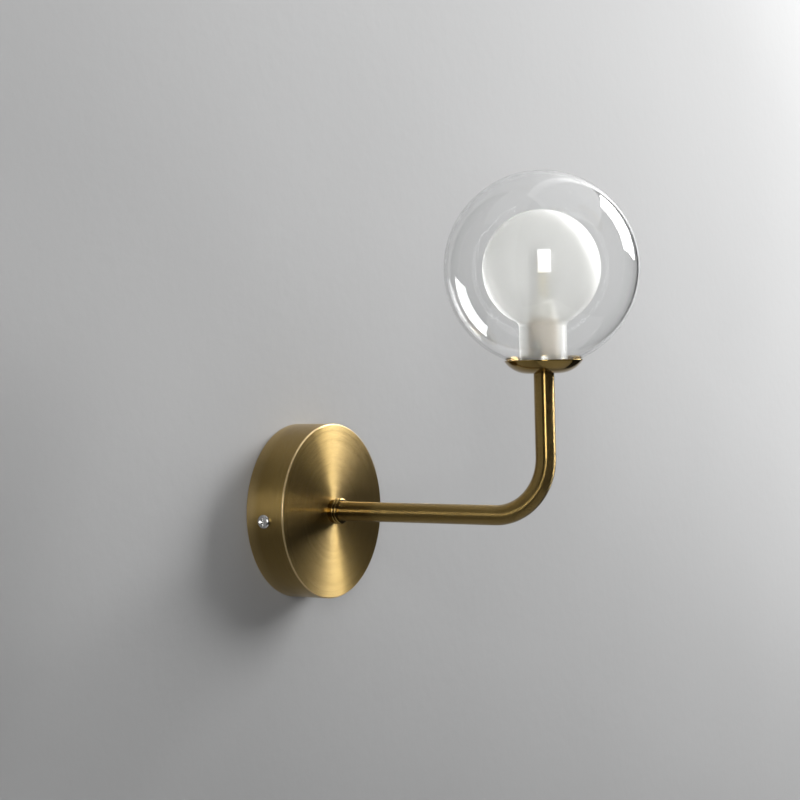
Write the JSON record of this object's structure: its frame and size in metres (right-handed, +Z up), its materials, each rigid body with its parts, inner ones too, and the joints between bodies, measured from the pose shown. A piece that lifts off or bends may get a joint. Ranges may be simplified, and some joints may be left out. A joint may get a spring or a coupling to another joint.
{
  "type": "globe wall sconce",
  "caption": "Wall light with a round brass canopy, a bent brass arm, a shallow cup and a clear glass globe round a frosted inner globe.",
  "frame": {"origin": "centre of the canopy's back plane on the wall, which is also the centre of the two wall-screw slots", "axes": "+Y into the wall, so the arm runs out along -Y; +Z up; +X to the right of someone facing the wall"},
  "size_m": [0.125, 0.2575, 0.2808],
  "materials": {
    "satin_brass": "satin, brushed round the turned faces",
    "polished_brass": "polished",
    "raw_brass": "machined",
    "zinc_steel": "zinc plated",
    "bright_screw": "nickel plated",
    "tinned_copper": "tinned copper",
    "white_plastic": "moulded",
    "holder_ceramic": "unglazed steatite",
    "lamp_ceramic": "fired white",
    "phosphor": "yellow silicone and phosphor",
    "clear_silicone": "soft, translucent",
    "ring_aluminium": "threaded",
    "clear_glass": "clear, blown",
    "frosted_glass": "frosted, blown",
    "lamp_glass": "clear",
    "brown_insulation": "silicone wire",
    "blue_insulation": "silicone wire",
    "green_insulation": "silicone wire, green and yellow"
  },
  "bodies": {
    "root": {"mounting_bracket": "zinc_steel", "canopy_cover": "satin_brass", "earth_screw": "raw_brass", "earth_washer": "zinc_steel", "earth_lug": "tinned_copper", "terminal_block": "white_plastic", "terminal_inserts": "raw_brass", "terminal_screws": "zinc_steel", "block_screws": "zinc_steel", "arm_tube": "satin_brass", "arm_collar": "polished_brass", "lower_nipple": "raw_brass", "lower_lock_washer": "zinc_steel", "lower_lock_nut": "raw_brass", "glass_cup": "polished_brass", "upper_nipple": "raw_brass", "upper_lock_washer": "zinc_steel", "upper_lock_nut": "raw_brass", "holder_shell": "raw_brass", "holder_strap": "zinc_steel", "holder_rivets": "zinc_steel", "holder_body": "holder_ceramic", "holder_contacts": "raw_brass", "live_lead": "brown_insulation", "neutral_lead": "blue_insulation", "earth_lead": "green_insulation", "conductor_ends": "tinned_copper"},
    "shade_seat": {"shade_gasket": "clear_silicone"},
    "shade": {"shade_ring": "ring_aluminium", "outer_globe": "clear_glass", "inner_globe": "frosted_glass"},
    "lamp": {"lamp_base": "white_plastic", "lamp_envelope": "lamp_glass", "lamp_board": "lamp_ceramic", "lamp_diode_strips": "phosphor", "lamp_pins": "bright_screw"},
    "screw_left": {"canopy_screw_left": "bright_screw"},
    "screw_right": {"canopy_screw_right": "bright_screw"}
  },
  "joints": [
    {"name": "shade_lift", "type": "slide", "parent": "root", "child": "shade_seat", "axis": [0, 0, 1], "range_m": [0, 0.1]},
    {"name": "shade_turn", "type": "hinge", "parent": "shade_seat", "child": "shade", "pos_m": [0, -0.195, 0.0958], "axis": [0, 0, 1], "continuous": true},
    {"name": "lamp_pull", "type": "slide", "parent": "root", "child": "lamp", "axis": [0, 0, 1], "range_m": [0, 0.02]},
    {"name": "canopy_screw_left_turn", "type": "hinge", "parent": "root", "child": "screw_left", "pos_m": [-0.06, -0.015, -0.0025], "axis": [-1, 0, 0], "continuous": true},
    {"name": "canopy_screw_right_turn", "type": "hinge", "parent": "root", "child": "screw_right", "pos_m": [0.06, -0.015, -0.0025], "axis": [1, 0, 0], "continuous": true}
  ]
}
